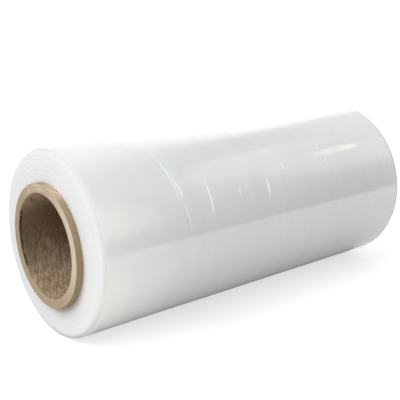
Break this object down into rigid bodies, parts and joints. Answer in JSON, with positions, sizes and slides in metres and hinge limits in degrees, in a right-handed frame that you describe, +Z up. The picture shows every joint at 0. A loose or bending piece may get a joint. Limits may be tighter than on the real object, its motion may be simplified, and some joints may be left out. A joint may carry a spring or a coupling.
{
  "type": "stretch wrap roll",
  "caption": "Hand roll of clear stretch film wound on a paperboard core, lying on its side with the core's bore open at both ends.",
  "frame": {"origin": "centre of the box around the roll, at the surface that it lies on", "axes": "+X along the roll's axis from the near end to the far end, +Z up, and the near end and the -Y side face the picture's camera"},
  "size_m": [0.315, 0.137, 0.1365],
  "materials": {
    "film": "wound clear polyethylene film, milky in the mass, glossy on the side and soft on the end faces",
    "core": "spiral-wound unbleached paperboard, matte"
  },
  "bodies": {
    "root": {"core": "core", "film": "film"}
  },
  "joints": []
}
